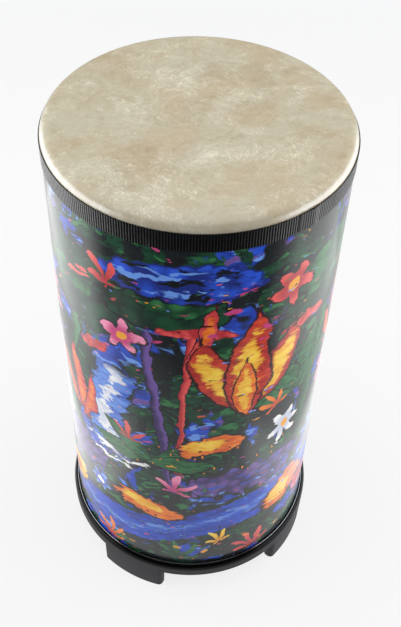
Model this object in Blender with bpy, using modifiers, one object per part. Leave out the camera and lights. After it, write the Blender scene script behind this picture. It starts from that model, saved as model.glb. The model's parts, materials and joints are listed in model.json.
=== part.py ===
"""A free-standing tube drum with a pretuned, glued head, modelled piece by piece.

Units are metres and +Z is up. The origin is on the floor at the centre of the feet.
Azimuths are in degrees from the front of the drum, -Y, towards +X.
"""

import math

import bmesh
import bpy
from mathutils import Matrix

# Shell and head
DRUM_HEIGHT = 0.533
SHELL_DIAMETER = 0.253
SHELL_WALL = 0.005
HEAD_DEPTH = 0.0215
FOLD_RADIUS = 0.0095
HOOP_WALL = 0.012
BEARING_FLAT = 0.0008
SPIGOT_LENGTH = 0.014

# Skins, and the glue line left between pieces that touch
SEAT_GAP = 0.0003
FILM_THICKNESS = 0.0005
WRAP_THICKNESS = 0.0005
SEAM_WIDTH = 0.012
SEAM_AZIMUTH = 180.0
SEAM_INSET = 0.001
BAND_THICKNESS = 0.0006
BAND_WIDTH = 0.017
BAND_DROP = 0.009
BAND_LAP_LENGTH = 0.014
BAND_LAP_AZIMUTH = 22.2
BAND_LAP_RISE = 0.0006

# Moulded ring: lip, skirt and flange
RING_TOP = 0.0503
RING_UNDERSIDE = 0.0325
RING_FLOOR = 0.0035
LIP_THICKNESS = 0.0058
LIP_BEAD_RADIUS = 0.0009
LIP_DROP = 0.0078
SKIRT_DRAFT = 1.2
FLANGE_WIDTH = 0.0235
FLANGE_THICKNESS = 0.003

# Feet of the ring
FOOT_COUNT = 4
FOOT_AZIMUTH = 45.0
FOOT_WIDTH = 0.0726
FOOT_THICKNESS = 0.0118
FOOT_END_RADIUS = 0.005
FOOT_WALL = 0.0026
FOOT_RIB = 0.0024
FOOT_POCKETS = 4
FOOT_ROOF = 0.003
FOOT_INNER_DRAFT = 1.5
FOOT_FILLET = 0.002
SOLE_CHAMFER = 0.0006
POCKET_CORNER = 0.0012
GUSSET_THICKNESS = 0.0022
GUSSET_REACH = 0.012
GUSSET_DROP = 0.014
GUSSET_SPACING = 0.036

# Bottom plate, its screws and the bass tube
PLATE_THICKNESS = 0.012
SCREW_COUNT = 8
SCREW_INSET = 0.0125
SCREW_DIAMETER = 0.0038
SCREW_LENGTH = 0.014
SCREW_TIP = 0.003
SCREW_HEAD_DIAMETER = 0.0084
SCREW_HEAD_HEIGHT = 0.0026
BOSS_DIAMETER = 0.013
BOSS_HEIGHT = 0.001
TUBE_DIAMETER = 0.127
TUBE_WALL = 0.003
TUBE_LENGTH = 0.254
TUBE_CHAMFER = 0.0005

# Facets
SEGMENTS = 96
TUBE_SEGMENTS = 48
SCREW_SEGMENTS = 12
FOLD_STEPS = 4
LIP_STEPS = 4
BEAD_STEPS = 3
CORNER_STEPS = 5
POCKET_STEPS = 2
PIERCE = 0.002
MERGE_DISTANCE = 0.00001

# Radii that several pieces share
shell_r = SHELL_DIAMETER / 2
shell_bore_r = shell_r - SHELL_WALL
skin_inner_r = shell_r + SEAT_GAP
wrap_outer_r = skin_inner_r + WRAP_THICKNESS
film_outer_r = skin_inner_r + FILM_THICKNESS
band_inner_r = max(wrap_outer_r, film_outer_r) + SEAT_GAP
band_outer_r = band_inner_r + BAND_THICKNESS
channel_r = wrap_outer_r + SEAT_GAP
ring_r = channel_r + LIP_THICKNESS
flange_bore_r = shell_bore_r - FLANGE_WIDTH
screw_circle_r = shell_bore_r - SCREW_INSET

# Heights that several pieces share
band_top_z = DRUM_HEIGHT - BAND_DROP
band_bottom_z = band_top_z - BAND_WIDTH
joint_z = DRUM_HEIGHT - HEAD_DEPTH
ring_floor_z = RING_UNDERSIDE + RING_FLOOR
seat_z = ring_floor_z + SEAT_GAP
flange_bottom_z = ring_floor_z - FLANGE_THICKNESS
skirt_top_z = RING_TOP - LIP_DROP
boss_bottom_z = flange_bottom_z - BOSS_HEIGHT
screw_seat_z = boss_bottom_z - SEAT_GAP


def clear_scene():
    """Remove every object, so the script starts from an empty scene."""
    for item in list(bpy.data.objects):
        bpy.data.objects.remove(item, do_unlink=True)


def new_collection(name):
    """Make a collection and link it to the scene."""
    collection = bpy.data.collections.new(name)
    bpy.context.scene.collection.children.link(collection)
    return collection


def finish(item, colour, roughness, metallic=0.0):
    """Give a piece its own material."""
    material = bpy.data.materials.new(item.name)
    material.use_nodes = True
    shader = material.node_tree.nodes["Principled BSDF"]
    shader.inputs["Base Color"].default_value = (*colour, 1.0)
    shader.inputs["Roughness"].default_value = roughness
    shader.inputs["Metallic"].default_value = metallic
    item.data.materials.append(material)


def place(name, mesh, collection):
    """Add a mesh to a collection as an object, and hide it if it is a cutter."""
    item = bpy.data.objects.new(name, mesh)
    collection.objects.link(item)
    if collection == cutters:
        item.hide_render = True
        item.display_type = "WIRE"
    return item


def profile_mesh(name, profile, closed=True):
    """Make the half section of a turned piece from its radii and heights."""
    count = len(profile)
    links = count if closed else count - 1
    mesh = bpy.data.meshes.new(name)
    edges = [(i, (i + 1) % count) for i in range(links)]
    mesh.from_pydata([(r, 0.0, z) for r, z in profile], edges, [])
    return mesh


def turn(item, segments):
    """Turn an object's half section about its own Z axis."""
    screw = item.modifiers.new("turn", "SCREW")
    screw.axis = "Z"
    screw.angle = math.tau
    screw.steps = segments
    screw.render_steps = segments
    screw.use_merge_vertices = True
    screw.merge_threshold = MERGE_DISTANCE
    screw.use_smooth_shade = True


def turned(name, profile, collection, segments=SEGMENTS, closed=True):
    """Add a turned piece. The profile runs down the outer side, then back up inside."""
    item = place(name, profile_mesh(name, profile, closed), collection)
    turn(item, segments)
    return item


def cut(item, tool, operation="DIFFERENCE"):
    """Cut a piece with a tool, or join or intersect it."""
    boolean = item.modifiers.new(tool.name, "BOOLEAN")
    boolean.operation = operation
    boolean.object = tool
    boolean.solver = "EXACT"


def outline_mesh(outline, thickness):
    """Extrude a flat outline half its thickness to each side, as a closed mesh."""
    curve = bpy.data.curves.new("outline", "CURVE")
    curve.dimensions = "2D"
    curve.fill_mode = "BOTH"
    curve.extrude = thickness / 2
    spline = curve.splines.new("POLY")
    spline.points.add(len(outline) - 1)
    for point, (x, y) in zip(spline.points, outline):
        point.co = (x, y, 0.0, 1.0)
    spline.use_cyclic_u = True
    guide = place("outline", curve, cutters)
    bpy.context.view_layer.update()
    graph = bpy.context.evaluated_depsgraph_get()
    mesh = bpy.data.meshes.new_from_object(guide.evaluated_get(graph))
    shape = bmesh.new()
    shape.from_mesh(mesh)
    bmesh.ops.remove_doubles(shape, verts=shape.verts, dist=MERGE_DISTANCE)
    shape.to_mesh(mesh)
    shape.free()
    bpy.data.objects.remove(guide, do_unlink=True)
    return mesh


def loft_mesh(sections):
    """Join outlines of equal count, each at its height, into a closed mesh."""
    mesh = bpy.data.meshes.new("loft")
    shape = bmesh.new()
    rings = [[shape.verts.new((x, y, z)) for x, y in outline] for z, outline in sections]
    for lower, upper in zip(rings, rings[1:]):
        for i in range(len(lower)):
            shape.faces.new((lower[i - 1], lower[i], upper[i], upper[i - 1]))
    shape.faces.new(rings[0])
    shape.faces.new(rings[-1])
    bmesh.ops.recalc_face_normals(shape, faces=shape.faces)
    shape.to_mesh(mesh)
    shape.free()
    return mesh


def cylinder_mesh(diameter, height, segments):
    """Make a capped cylinder about Z, centred on the origin."""
    mesh = bpy.data.meshes.new("cylinder")
    shape = bmesh.new()
    radius = diameter / 2
    bmesh.ops.create_cone(shape, cap_ends=True, segments=segments, radius1=radius, radius2=radius, depth=height)
    shape.to_mesh(mesh)
    shape.free()
    return mesh


def box_mesh(width, depth, height):
    """Make a box centred on the origin."""
    mesh = bpy.data.meshes.new("box")
    shape = bmesh.new()
    bmesh.ops.create_cube(shape, size=1.0, matrix=Matrix.Diagonal((width, depth, height, 1.0)))
    shape.to_mesh(mesh)
    shape.free()
    return mesh


def pattern(name, mesh, places):
    """Add one tool that holds a copy of a mesh at each of the places."""
    shape = bmesh.new()
    for matrix in places:
        copy = mesh.copy()
        copy.transform(matrix)
        shape.from_mesh(copy)
        bpy.data.meshes.remove(copy)
    joined = bpy.data.meshes.new(name)
    shape.to_mesh(joined)
    shape.free()
    return place(name, joined, cutters)


def around(azimuth, radius=0.0, height=0.0, aside=0.0):
    """Stand at an azimuth, facing out: local X runs sideways and local -Y outwards."""
    return Matrix.Rotation(math.radians(azimuth), 4, "Z") @ Matrix.Translation((aside, -radius, height))


def arc(centre_r, centre_z, reach_r, reach_z, start, end, steps):
    """Give the points of an elliptical arc in a half section, by angle from the radial direction."""
    points = []
    for i in range(steps + 1):
        angle = math.radians(start + (end - start) * i / steps)
        points.append((centre_r + reach_r * math.cos(angle), centre_z + reach_z * math.sin(angle)))
    return points


def rounded_outline(half_width, half_depth, corner, steps):
    """Outline a rectangle with rounded corners, centred on the origin."""
    points = []
    for x_side, y_side, start in ((1, 1, 0.0), (-1, 1, 90.0), (-1, -1, 180.0), (1, -1, 270.0)):
        centre = (x_side * (half_width - corner), y_side * (half_depth - corner))
        points += arc(*centre, corner, corner, start, start + 90.0, steps)
    return points


def drumhead_film(parts):
    """Film over the hoop: flat, then a rounded fold and a collar down to the joint."""
    fold = (film_outer_r - FOLD_RADIUS, DRUM_HEIGHT - FOLD_RADIUS)
    inner_fold = FOLD_RADIUS - FILM_THICKNESS
    collar_z = joint_z + SEAT_GAP
    profile = [(0.0, DRUM_HEIGHT)]
    profile += arc(*fold, FOLD_RADIUS, FOLD_RADIUS, 90.0, 0.0, FOLD_STEPS)
    profile += [(film_outer_r, collar_z), (skin_inner_r, collar_z)]
    profile += arc(*fold, inner_fold, inner_fold, 0.0, 90.0, FOLD_STEPS)
    profile += [(0.0, DRUM_HEIGHT - FILM_THICKNESS)]
    film = turned("drumhead_film", profile, parts, closed=False)
    finish(film, (0.58, 0.53, 0.41), 0.45)


def head_hoop(parts):
    """Hoop with a rounded bearing edge under the fold and a spigot that enters the shell."""
    fold = (film_outer_r - FOLD_RADIUS, DRUM_HEIGHT - FOLD_RADIUS)
    rounding = FOLD_RADIUS - FILM_THICKNESS - SEAT_GAP
    shoulder_z = joint_z + SEAT_GAP
    spigot_r = shell_bore_r - SEAT_GAP
    bore_r = shell_r - HOOP_WALL
    crest_z = fold[1] + rounding
    bevel = fold[0] - BEARING_FLAT - bore_r
    profile = arc(*fold, rounding, rounding, 90.0, 0.0, FOLD_STEPS)
    profile += [(shell_r, shoulder_z), (spigot_r, shoulder_z)]
    profile += [(spigot_r, shoulder_z - SPIGOT_LENGTH), (bore_r, shoulder_z - SPIGOT_LENGTH)]
    profile += [(bore_r, crest_z - bevel), (fold[0] - BEARING_FLAT, crest_z)]
    hoop = turned("head_hoop", profile, parts)
    finish(hoop, (0.30, 0.20, 0.11), 0.7)


def shell_tube(parts):
    """Wound tube between the ring's floor and the hoop."""
    profile = [(shell_r, joint_z), (shell_r, seat_z), (shell_bore_r, seat_z), (shell_bore_r, joint_z)]
    shell = turned("shell_tube", profile, parts)
    finish(shell, (0.20, 0.13, 0.08), 0.75)


def lap(name, mid_r, outer_r, low_z, high_z, azimuth, width):
    """Make the second layer of a skin whose end is lapped over its start."""
    profile = [(outer_r, high_z), (outer_r, low_z), (mid_r, low_z), (mid_r, high_z)]
    layer = turned(name, profile, cutters)
    window = box_mesh(width, outer_r, high_z - low_z + 2 * PIERCE)
    middle = around(azimuth, outer_r, (low_z + high_z) / 2)
    cut(layer, pattern(name + "_window", window, [middle]), "INTERSECT")
    return layer


def printed_wrap(parts):
    """Printed skin on the shell, trimmed single under the band and the ring's lip."""
    profile = [(wrap_outer_r, joint_z), (wrap_outer_r, seat_z), (skin_inner_r, seat_z), (skin_inner_r, joint_z)]
    wrap = turned("printed_wrap", profile, parts)
    layer = lap(
        "seam_lap",
        wrap_outer_r - WRAP_THICKNESS / 2,
        wrap_outer_r + WRAP_THICKNESS,
        RING_TOP + SEAM_INSET,
        band_bottom_z - SEAM_INSET,
        SEAM_AZIMUTH,
        SEAM_WIDTH,
    )
    cut(wrap, layer, "UNION")
    finish(wrap, (0.07, 0.10, 0.12), 0.2)


def binding_band(parts):
    """Tape over the joint of film and wrap, with its end lapped over its start."""
    profile = [(band_outer_r, band_top_z), (band_outer_r, band_bottom_z)]
    profile += [(band_inner_r, band_bottom_z), (band_inner_r, band_top_z)]
    band = turned("binding_band", profile, parts)
    layer = lap(
        "band_lap",
        band_outer_r - BAND_THICKNESS / 2,
        band_outer_r + BAND_THICKNESS,
        band_bottom_z + BAND_LAP_RISE,
        band_top_z + BAND_LAP_RISE,
        BAND_LAP_AZIMUTH,
        BAND_LAP_LENGTH,
    )
    cut(band, layer, "UNION")
    finish(band, (0.012, 0.012, 0.013), 0.6)


def foot_azimuths():
    """List the azimuth of each foot's middle."""
    return [FOOT_AZIMUTH + 360.0 * i / FOOT_COUNT for i in range(FOOT_COUNT)]


def ring_section():
    """Half section of the ring through a foot, before the gaps between the feet are cut."""
    sole_r = ring_r - skirt_top_z * math.tan(math.radians(SKIRT_DRAFT))
    heel_r = sole_r - FOOT_THICKNESS
    heel_top_r = heel_r - flange_bottom_z * math.tan(math.radians(FOOT_INNER_DRAFT))
    bead_r = channel_r + LIP_BEAD_RADIUS
    bead_z = RING_TOP - LIP_BEAD_RADIUS
    slope_r = bead_r + LIP_BEAD_RADIUS
    section = arc(bead_r, bead_z, LIP_BEAD_RADIUS, LIP_BEAD_RADIUS, 180.0, 0.0, BEAD_STEPS)[:-1]
    section += arc(slope_r, skirt_top_z, ring_r - slope_r, bead_z - skirt_top_z, 90.0, 0.0, LIP_STEPS)
    section += [(sole_r, SOLE_CHAMFER), (sole_r - SOLE_CHAMFER, 0.0)]
    section += [(heel_r + SOLE_CHAMFER, 0.0), (heel_r, SOLE_CHAMFER)]
    section += [(heel_top_r, flange_bottom_z - FOOT_FILLET)]
    section += [(heel_top_r - FOOT_FILLET, flange_bottom_z), (flange_bore_r, flange_bottom_z)]
    section += [(flange_bore_r, ring_floor_z), (channel_r, ring_floor_z)]
    return section, sole_r, heel_r, heel_top_r


def foot_plan(sole_r, heel_r, near_r, height, inset):
    """Outline a foot from above at a height, with its ends rounded into the ring's drafted faces.

    Between the ends the outline runs clear of those faces, so they stay the ring's own.
    """
    outer_r = sole_r + height * math.tan(math.radians(SKIRT_DRAFT))
    inner_r = heel_r - height * math.tan(math.radians(FOOT_INNER_DRAFT))
    aside = FOOT_WIDTH / 2 - inset - FOOT_END_RADIUS
    outer_lean = math.asin(aside / (outer_r - FOOT_END_RADIUS))
    inner_lean = math.asin(aside / (inner_r + FOOT_END_RADIUS))
    outer_y = -(outer_r - FOOT_END_RADIUS) * math.cos(outer_lean)
    inner_y = -(inner_r + FOOT_END_RADIUS) * math.cos(inner_lean)
    far_r = ring_r + 2 * PIERCE
    end = [(far_r * math.sin(outer_lean), -far_r * math.cos(outer_lean))]
    reach = (FOOT_END_RADIUS, FOOT_END_RADIUS)
    end += arc(aside, outer_y, *reach, math.degrees(outer_lean) - 90.0, 0.0, CORNER_STEPS)
    end += arc(aside, inner_y, *reach, 0.0, math.degrees(inner_lean) + 90.0, CORNER_STEPS)
    end += [(near_r * math.sin(inner_lean), -near_r * math.cos(inner_lean))]
    return end + [(-x, y) for x, y in reversed(end)]


def foot_gaps(sole_r, heel_r, heel_top_r):
    """Tool that clears the skirt between the feet and leaves each foot's ends rounded."""
    inner = heel_top_r - FOOT_FILLET - PIERCE
    outer = ring_r + PIERCE
    profile = [(outer, RING_UNDERSIDE), (outer, -PIERCE), (inner, -PIERCE), (inner, RING_UNDERSIDE)]
    gaps = turned("foot_gaps", profile, cutters)
    levels = ((-PIERCE, SOLE_CHAMFER + PIERCE), (SOLE_CHAMFER, 0.0), (RING_UNDERSIDE + PIERCE, 0.0))
    near_r = inner - PIERCE
    bar = loft_mesh([(z, foot_plan(sole_r, heel_r, near_r, z, inset)) for z, inset in levels])
    for i, azimuth in enumerate(foot_azimuths()):
        cut(gaps, pattern(f"foot_bar_{i + 1}", bar, [around(azimuth)]))
    return gaps


def foot_pockets(sole_r, heel_r):
    """Tool that cores each foot out from below, with ribs left between the pockets."""
    flat = FOOT_WIDTH - 2 * max(FOOT_END_RADIUS, FOOT_WALL)
    length = (flat - (FOOT_POCKETS - 1) * FOOT_RIB) / FOOT_POCKETS
    depth = FOOT_THICKNESS - 2 * FOOT_WALL
    height = RING_UNDERSIDE - FOOT_ROOF + PIERCE
    outline = rounded_outline(length / 2, depth / 2, POCKET_CORNER, POCKET_STEPS)
    pocket = outline_mesh(outline, height)
    middle_r = (sole_r + heel_r) / 2
    step = math.degrees((length + FOOT_RIB) / middle_r)
    places = []
    for azimuth in foot_azimuths():
        for i in range(FOOT_POCKETS):
            offset = (i - (FOOT_POCKETS - 1) / 2) * step
            places.append(around(azimuth + offset, middle_r, height / 2 - PIERCE))
    return pattern("foot_pockets", pocket, places)


def foot_gussets(heel_top_r):
    """Webs that brace each foot against the flange."""
    root_r = heel_top_r + FOOT_WALL / 2
    root_z = flange_bottom_z + FLANGE_THICKNESS / 2
    outline = [(root_r, root_z), (heel_top_r - GUSSET_REACH, root_z)]
    outline += [(heel_top_r - GUSSET_REACH, flange_bottom_z - GUSSET_THICKNESS)]
    outline += [(root_r, flange_bottom_z - GUSSET_DROP)]
    web = outline_mesh(outline, GUSSET_THICKNESS)
    web.transform(Matrix.Rotation(math.radians(90.0), 4, "X"))
    web.transform(Matrix.Rotation(math.radians(-90.0), 4, "Z"))
    places = []
    for azimuth in foot_azimuths():
        for side in (-1, 1):
            places.append(around(azimuth, aside=side * GUSSET_SPACING / 2))
    return pattern("foot_gussets", web, places)


def screw_places(height):
    """Places round the flange for the screws, their bosses and their holes."""
    return [around(360.0 * i / SCREW_COUNT, screw_circle_r, height) for i in range(SCREW_COUNT)]


def foot_ring(parts):
    """Moulded ring: a channel for the shell, a drafted skirt, four cored feet and a braced flange."""
    section, sole_r, heel_r, heel_top_r = ring_section()
    ring = turned("foot_ring", section, parts)
    cut(ring, foot_gaps(sole_r, heel_r, heel_top_r))
    cut(ring, foot_gussets(heel_top_r), "UNION")
    boss_height = BOSS_HEIGHT + FLANGE_THICKNESS / 2
    boss = cylinder_mesh(BOSS_DIAMETER, boss_height, SCREW_SEGMENTS)
    bosses = pattern("screw_bosses", boss, screw_places(boss_bottom_z + boss_height / 2))
    cut(ring, bosses, "UNION")
    cut(ring, foot_pockets(sole_r, heel_r))
    hole_height = ring_floor_z - boss_bottom_z + 2 * PIERCE
    hole = cylinder_mesh(SCREW_DIAMETER + 2 * SEAT_GAP, hole_height, SCREW_SEGMENTS)
    middle_z = (ring_floor_z + boss_bottom_z) / 2
    cut(ring, pattern("flange_holes", hole, screw_places(middle_z)))
    finish(ring, (0.014, 0.014, 0.015), 0.35)


def bottom_plate(parts):
    """Plate inside the shell's lower end, with pilot holes for the screws."""
    outer = shell_bore_r - SEAT_GAP
    inner = TUBE_DIAMETER / 2 + SEAT_GAP
    top_z = seat_z + PLATE_THICKNESS
    profile = [(outer, top_z), (outer, seat_z), (inner, seat_z), (inner, top_z)]
    plate = turned("bottom_plate", profile, parts)
    pilot_top_z = screw_seat_z + SCREW_LENGTH + SEAT_GAP
    pilot_height = pilot_top_z - seat_z + PIERCE
    pilot = cylinder_mesh(SCREW_DIAMETER + 2 * SEAT_GAP, pilot_height, SCREW_SEGMENTS)
    pilots = pattern("pilot_holes", pilot, screw_places(pilot_top_z - pilot_height / 2))
    cut(plate, pilots)
    finish(plate, (0.28, 0.18, 0.10), 0.8)


def bass_tube(parts):
    """Inner tube that stands in the plate's central hole and is open at both ends."""
    outer = TUBE_DIAMETER / 2
    inner = outer - TUBE_WALL
    top_z = seat_z + TUBE_LENGTH
    profile = [(outer - TUBE_CHAMFER, top_z), (outer, top_z - TUBE_CHAMFER), (outer, seat_z)]
    profile += [(inner, seat_z), (inner, top_z - TUBE_CHAMFER), (inner + TUBE_CHAMFER, top_z)]
    tube = turned("bass_tube", profile, parts, TUBE_SEGMENTS)
    finish(tube, (0.33, 0.25, 0.16), 0.85)


def plate_screws(parts):
    """Pan-head screws, point up, each seated on its boss."""
    shank = SCREW_DIAMETER / 2
    head = SCREW_HEAD_DIAMETER / 2
    edge = SCREW_HEAD_HEIGHT / 3
    profile = [(0.0, SCREW_LENGTH), (shank, SCREW_LENGTH - SCREW_TIP), (shank, 0.0), (head, 0.0), (head, -edge)]
    profile += arc(0.0, -edge, head, SCREW_HEAD_HEIGHT - edge, -30.0, -90.0, 2)
    mesh = profile_mesh("plate_screw", profile, closed=False)
    for i, matrix in enumerate(screw_places(screw_seat_z)):
        screw = place(f"plate_screw_{i + 1}", mesh, parts)
        screw.matrix_world = matrix
        turn(screw, SCREW_SEGMENTS)
        if i == 0:
            finish(screw, (0.45, 0.44, 0.42), 0.35, 1.0)


clear_scene()
drum = new_collection("tube_drum")
cutters = new_collection("cutters")
drumhead_film(drum)
head_hoop(drum)
binding_band(drum)
shell_tube(drum)
printed_wrap(drum)
foot_ring(drum)
bottom_plate(drum)
bass_tube(drum)
plate_screws(drum)
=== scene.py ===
import json
import math

import bmesh
import bpy
from mathutils import Matrix, Vector

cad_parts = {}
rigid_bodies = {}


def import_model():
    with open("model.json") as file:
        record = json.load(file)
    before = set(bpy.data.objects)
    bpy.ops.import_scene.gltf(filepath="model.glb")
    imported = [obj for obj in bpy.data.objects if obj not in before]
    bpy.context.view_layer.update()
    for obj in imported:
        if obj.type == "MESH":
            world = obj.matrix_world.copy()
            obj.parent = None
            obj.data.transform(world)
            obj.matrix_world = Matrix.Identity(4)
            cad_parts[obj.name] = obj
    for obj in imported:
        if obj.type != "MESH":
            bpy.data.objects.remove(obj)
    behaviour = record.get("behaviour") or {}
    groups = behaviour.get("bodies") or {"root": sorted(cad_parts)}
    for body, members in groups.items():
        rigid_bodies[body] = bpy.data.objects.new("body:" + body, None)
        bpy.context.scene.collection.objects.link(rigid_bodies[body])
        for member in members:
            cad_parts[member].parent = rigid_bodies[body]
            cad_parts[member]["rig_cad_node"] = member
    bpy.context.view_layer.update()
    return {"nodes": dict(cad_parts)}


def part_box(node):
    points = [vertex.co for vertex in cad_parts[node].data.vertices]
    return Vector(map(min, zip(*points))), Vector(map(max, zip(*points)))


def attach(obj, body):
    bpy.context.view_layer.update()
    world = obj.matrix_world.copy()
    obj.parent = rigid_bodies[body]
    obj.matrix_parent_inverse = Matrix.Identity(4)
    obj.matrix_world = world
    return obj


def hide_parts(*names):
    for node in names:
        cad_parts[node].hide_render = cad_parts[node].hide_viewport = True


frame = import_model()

# The photograph's frame and the view that it was taken from, in metres and degrees
PHOTO_WIDTH = 401
PHOTO_HEIGHT = 627
FOCAL_PIXELS = 950.0
SENSOR = 36.0
CAMERA_AZIMUTH = -16.9
CAMERA_REACH = 0.6263
CAMERA_HEIGHT = 0.9778
CAMERA_PITCH = 47.04
CAMERA_YAW = 0.56
CAMERA_ROLL = 2.07

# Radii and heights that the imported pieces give
(_, _, collar_z), (head_r, _, head_top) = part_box("drumhead_film")
(_, _, tape_bottom), (tape_r, _, _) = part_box("binding_band")
(_, _, skin_bottom), (skin_r, _, skin_top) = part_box("printed_wrap")
_, (ring_r, _, ring_top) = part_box("foot_ring")
(_, _, tube_bottom), (tube_r, _, tube_top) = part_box("bass_tube")

# Sizes of the dressed pieces, and how finely their rounds are drawn
FACETS = 288
SHARP_ANGLE = 35.0
WELD = 1e-7
FILM_THICKNESS = 0.0005
FLAT_RINGS = 6
FOLD_RADIUS = 0.0095
FOLD_STEPS = 14
TAPE_WIDTH = 0.017
TAPE_THICKNESS = 0.0009
TAPE_RIB = 0.00225
TAPE_RIB_RISE = 0.0004
TAPE_RIB_FACETS = 8
TAPE_RIB_CROWN = 0.4
TAPE_LAP = 0.014
TAPE_CLIMB_START = 0.021
TAPE_CLIMB = 0.007
TAPE_END_AZIMUTH = 19.1
TAPE_DRIFT = 0.0005
TAPE_PICOT = 0.00015
TAPE_EDGE = 0.00015
TAPE_END_THINNING = 0.6
SKIN_THICKNESS = 0.00024
SKIN_BANDS = 12
SKIN_LAP = 0.012
SKIN_CLIMB_START = 0.0216
SKIN_CLIMB = 0.0084
SKIN_END_AZIMUTH = 180.0
LAYER_GAP = 0.00003
TUBE_WALL = 0.003
TUBE_EASE = 0.0009
TUBE_FACETS = 128
PLY_PITCH = 0.085

# The moulded ring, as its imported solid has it
LIP_THICKNESS = 0.0058
LIP_BEAD_RADIUS = 0.0009
LIP_DROP = 0.0078
RING_UNDERSIDE = 0.0325
RING_FLOOR = 0.0035
FLANGE_THICKNESS = 0.003
FLANGE_BORE_R = 0.098
SKIRT_DRAFT = 1.2
FOOT_AZIMUTHS = (45.0, 135.0, 225.0, 315.0)
FOOT_WIDTH = 0.0726
FOOT_THICKNESS = 0.0118
FOOT_END_RADIUS = 0.005
FOOT_WALL = 0.0026
FOOT_RIB = 0.0024
FOOT_POCKETS = 4
FOOT_ROOF = 0.003
FOOT_INNER_DRAFT = 1.5
FOOT_FILLET = 0.002
SOLE_ROUND = 0.0008
SOLE_STEPS = 5
POCKET_CORNER = 0.0012
GUSSET_THICKNESS = 0.0022
GUSSET_REACH = 0.012
GUSSET_DROP = 0.014
GUSSET_SPACING = 0.036
SCREW_COUNT = 8
SCREW_CIRCLE_R = 0.109
SCREW_HOLE = 0.0044
SCREW_DIAMETER = 0.0038
SCREW_TIP = 0.003
SCREW_HEAD_HEIGHT = 0.0026
SCREW_RIM_SHARE = 0.35
SCREW_SLOT = 0.0011
SCREW_SLOT_SHARE = 0.6
SCREW_SLOT_DEPTH = 0.0015
SCREW_FACETS = 32
SCREW_TURN = 37.0
BOSS_DIAMETER = 0.013
BOSS_HEIGHT = 0.001
PIERCE = 0.002

# Heights and radii of the ring that follow from these
floor_z = RING_UNDERSIDE + RING_FLOOR
flange_z = floor_z - FLANGE_THICKNESS
channel_r = ring_r - LIP_THICKNESS
skirt_top = ring_top - LIP_DROP
sole_r = ring_r - skirt_top * math.tan(math.radians(SKIRT_DRAFT))
heel_r = sole_r - FOOT_THICKNESS
heel_top_r = heel_r - flange_z * math.tan(math.radians(FOOT_INNER_DRAFT))


def srgb(red, green, blue):
    """Turn a colour on the 0 to 255 scale into the linear numbers that shaders take."""
    scaled = [level / 255 for level in (red, green, blue)]
    return tuple(s / 12.92 if s <= 0.04045 else ((s + 0.055) / 1.055) ** 2.4 for s in scaled)


class Value:
    """A socket of a finish's nodes, so that shader maths reads as plain expressions."""

    def __init__(self, finish, socket):
        self.finish = finish
        self.socket = socket

    def math(self, operation, *others):
        return self.finish.node("ShaderNodeMath", {"operation": operation}, self, *others)

    def __add__(self, other):
        return self.math("ADD", other)

    __radd__ = __add__

    def __sub__(self, other):
        return self.math("SUBTRACT", other)

    def __rsub__(self, other):
        return self.finish.node("ShaderNodeMath", {"operation": "SUBTRACT"}, other, self)

    def __mul__(self, other):
        return self.math("MULTIPLY", other)

    __rmul__ = __mul__

    def __truediv__(self, other):
        return self.math("DIVIDE", other)

    def __rtruediv__(self, other):
        return self.finish.node("ShaderNodeMath", {"operation": "DIVIDE"}, other, self)

    def __pow__(self, other):
        return self.math("POWER", other)

    def __neg__(self):
        return self.math("MULTIPLY", -1.0)

    def sin(self):
        return self.math("SINE")

    def cos(self):
        return self.math("COSINE")

    def abs(self):
        return self.math("ABSOLUTE")

    def least(self, other):
        return self.math("MINIMUM", other)

    def most(self, other):
        return self.math("MAXIMUM", other)

    def fraction(self):
        return self.math("FRACT")

    def edge(self, low, high):
        """Rise smoothly from 0 at low to 1 at high."""
        settings = {"interpolation_type": "SMOOTHSTEP", "clamp": False}
        return self.finish.node("ShaderNodeMapRange", settings, self, low, high, 0.0, 1.0)


def from_middle(x, y):
    """How far out a point lies, from its two coordinates."""
    return (x * x + y * y) ** 0.5


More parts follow.
